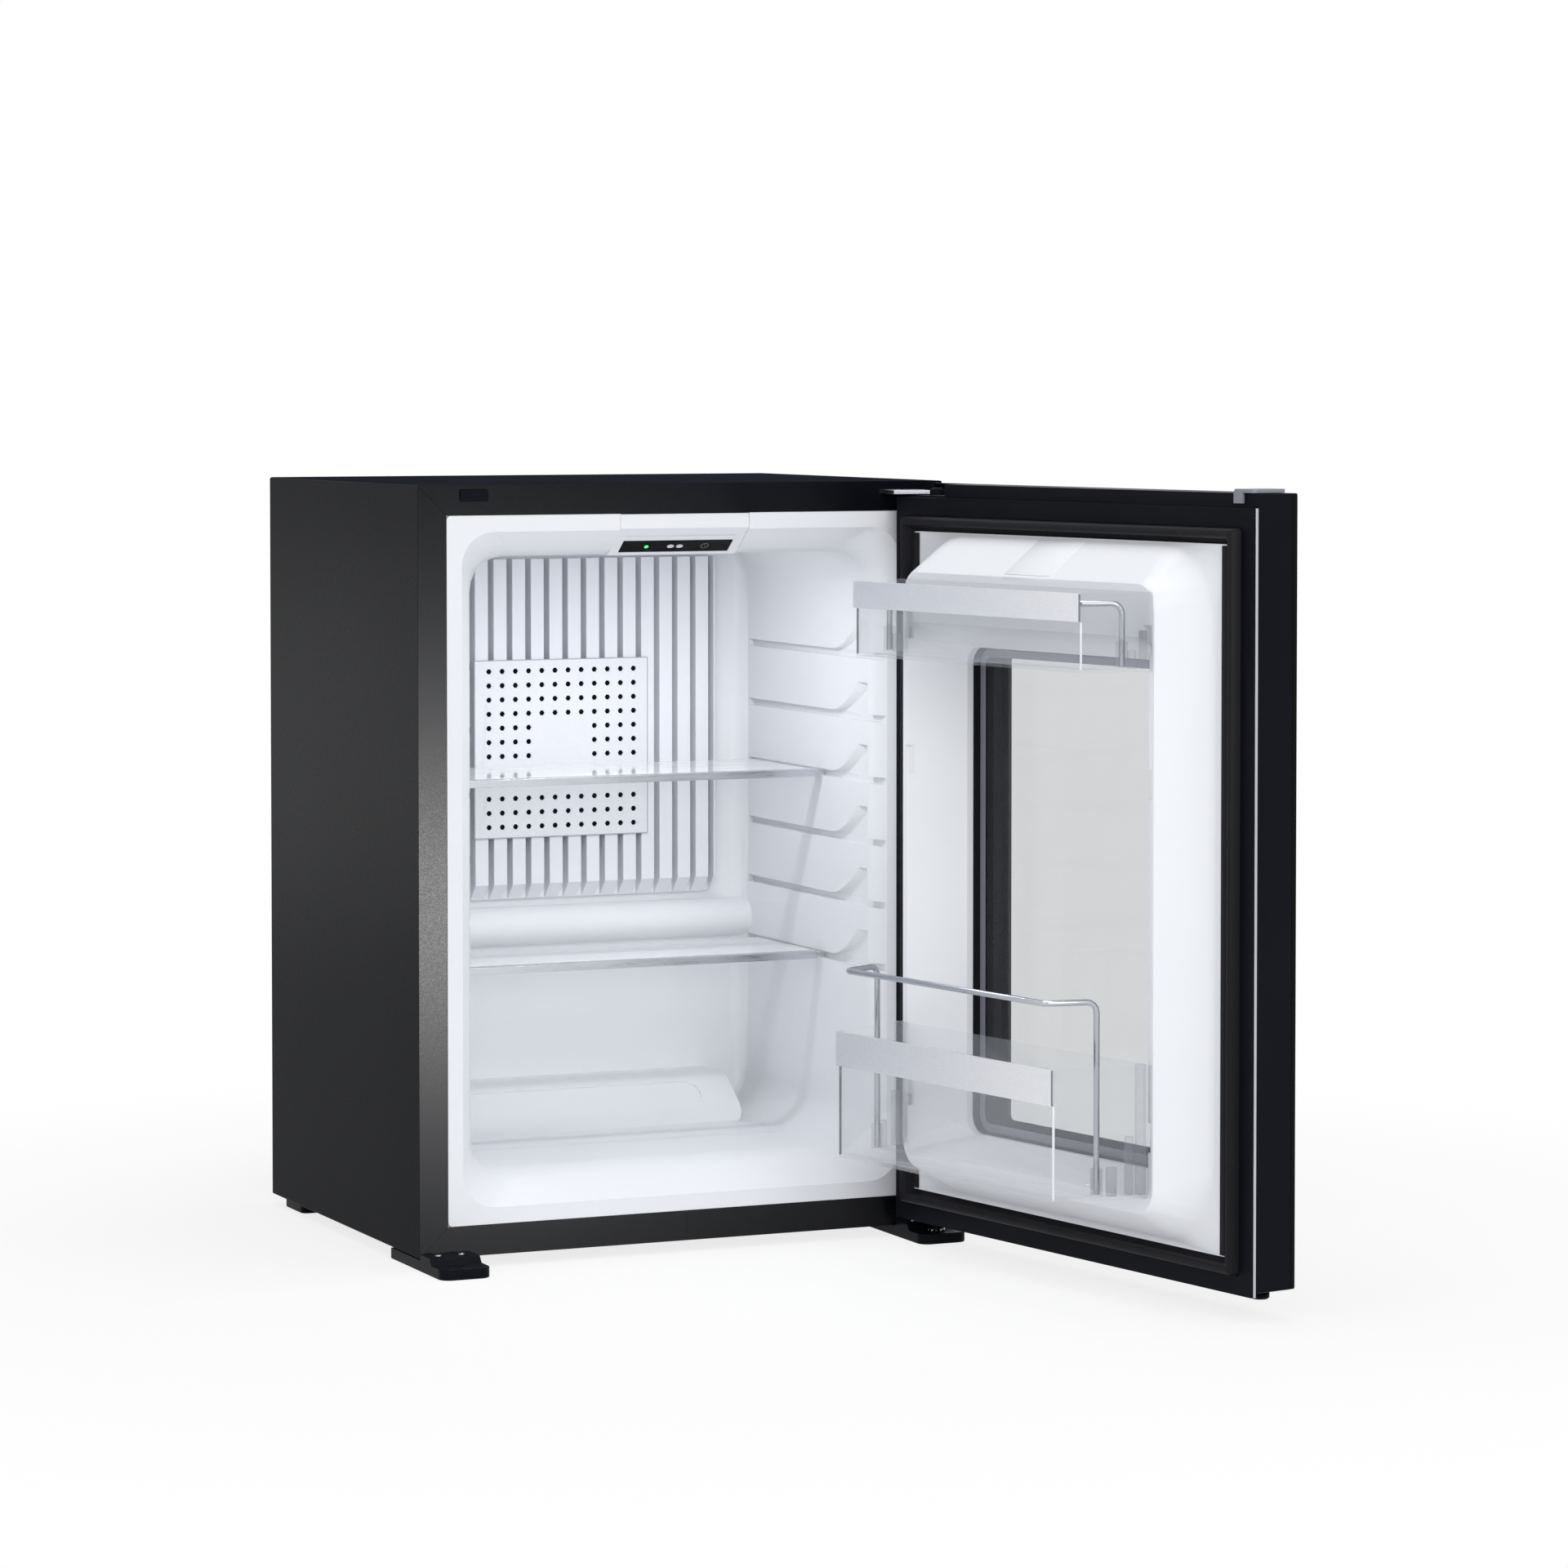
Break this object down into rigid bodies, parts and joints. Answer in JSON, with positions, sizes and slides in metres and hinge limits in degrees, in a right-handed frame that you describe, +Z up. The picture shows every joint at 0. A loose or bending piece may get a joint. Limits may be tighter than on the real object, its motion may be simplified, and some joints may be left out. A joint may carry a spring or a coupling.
{
  "type": "minibar refrigerator",
  "caption": "Small black hotel minibar with an open glass-fronted door, white lined cabinet, glass shelves, clear door bins, wire bottle rail and absorption cooling unit.",
  "frame": {"origin": "on the floor under the middle of the whole object with its door standing open", "axes": "+X to the cabinet's right as its user sees it, +Y from the front to the back, +Z up"},
  "size_m": [0.4654, 0.8008, 0.5485],
  "materials": {
    "black_coated_steel": "fine textured satin",
    "black_plastic": "satin",
    "white_liner_plastic": "gloss",
    "white_coated_aluminium": "satin",
    "grey_metal": "satin",
    "brushed_aluminium": "brushed",
    "bright_steel": "satin",
    "clear_plastic": "clear",
    "clear_glass": "clear",
    "black_glass": "gloss",
    "tinted_glass": "gloss, black printed border",
    "black_rubber": "matte",
    "insulating_foam": "porous",
    "galvanised_steel": "dull",
    "black_unit_paint": "satin",
    "green_board": "satin",
    "lamp_lens": "frosted",
    "green_light": "lit"
  },
  "bodies": {
    "cabinet": {"outer_wrap": "black_coated_steel", "back_panel": "galvanised_steel", "foam_insulation": "insulating_foam", "inner_liner": "white_liner_plastic", "lamp_housing": "white_liner_plastic", "control_board": "green_board", "control_strip": "black_glass", "status_light": "green_light", "lamp_lens": "lamp_lens", "evaporator_fins": "white_coated_aluminium", "perforated_cover": "white_coated_aluminium", "front_foot_left": "black_plastic", "front_foot_right": "black_plastic", "foot_screw_1": "bright_steel", "foot_screw_2": "bright_steel", "foot_screw_3": "bright_steel", "foot_screw_4": "bright_steel", "rear_foot_left": "black_plastic", "rear_foot_right": "black_plastic", "top_hinge_plate": "grey_metal", "top_hinge_pin": "bright_steel", "hinge_slot_cover": "black_plastic", "lower_hinge_pin": "bright_steel", "boiler_jacket": "galvanised_steel", "heater_cartridge": "bright_steel", "condenser": "black_unit_paint", "evaporator_pipe": "black_unit_paint", "absorber_coil": "black_unit_paint", "receiver_tank": "black_unit_paint", "liquid_pipe": "black_unit_paint", "condenser_bracket": "galvanised_steel", "tank_bracket": "galvanised_steel", "electronics_box": "black_plastic", "power_inlet": "black_plastic"},
    "door": {"door_outer_frame": "black_plastic", "door_edge_trim": "brushed_aluminium", "front_glass": "tinted_glass", "inner_glass": "clear_glass", "glass_spacer": "brushed_aluminium", "door_liner": "white_liner_plastic", "door_foam": "insulating_foam", "door_gasket": "black_rubber", "upper_hinge_bush": "white_liner_plastic", "lower_hinge_bush": "black_plastic", "spare_bush_plug": "black_plastic", "hinge_recess_cap": "grey_metal"},
    "upper_shelf_body": {"upper_shelf_glass": "clear_glass", "upper_shelf_trim": "brushed_aluminium"},
    "lower_shelf_body": {"lower_shelf_glass": "clear_glass", "lower_shelf_trim": "brushed_aluminium"},
    "upper_bin_body": {"upper_bin": "clear_plastic", "upper_bin_band": "brushed_aluminium", "upper_bin_wire": "bright_steel"},
    "lower_bin_body": {"lower_bin": "clear_plastic", "lower_bin_band": "brushed_aluminium"},
    "bottle_rail_body": {"bottle_rail": "bright_steel"}
  },
  "joints": [
    {"name": "door_hinge", "type": "hinge", "parent": "cabinet", "child": "door", "pos_m": [0.15173, -0.01798, 0.008], "axis": [0, 0, 1], "range_deg": [-100, 20]},
    {"name": "upper_shelf_slide", "type": "slide", "parent": "cabinet", "child": "upper_shelf_body", "axis": [0, -1, 0], "range_m": [0, 0.12]},
    {"name": "lower_shelf_slide", "type": "slide", "parent": "cabinet", "child": "lower_shelf_body", "axis": [0, -1, 0], "range_m": [0, 0.12]},
    {"name": "upper_bin_lift", "type": "slide", "parent": "door", "child": "upper_bin_body", "axis": [0, 0, 1], "range_m": [0, 0.0115]},
    {"name": "lower_bin_lift", "type": "slide", "parent": "door", "child": "lower_bin_body", "axis": [0, 0, 1], "range_m": [0, 0.0115]},
    {"name": "bottle_rail_lift", "type": "slide", "parent": "lower_bin_body", "child": "bottle_rail_body", "axis": [0, 0, 1], "range_m": [0, 0.02]}
  ]
}
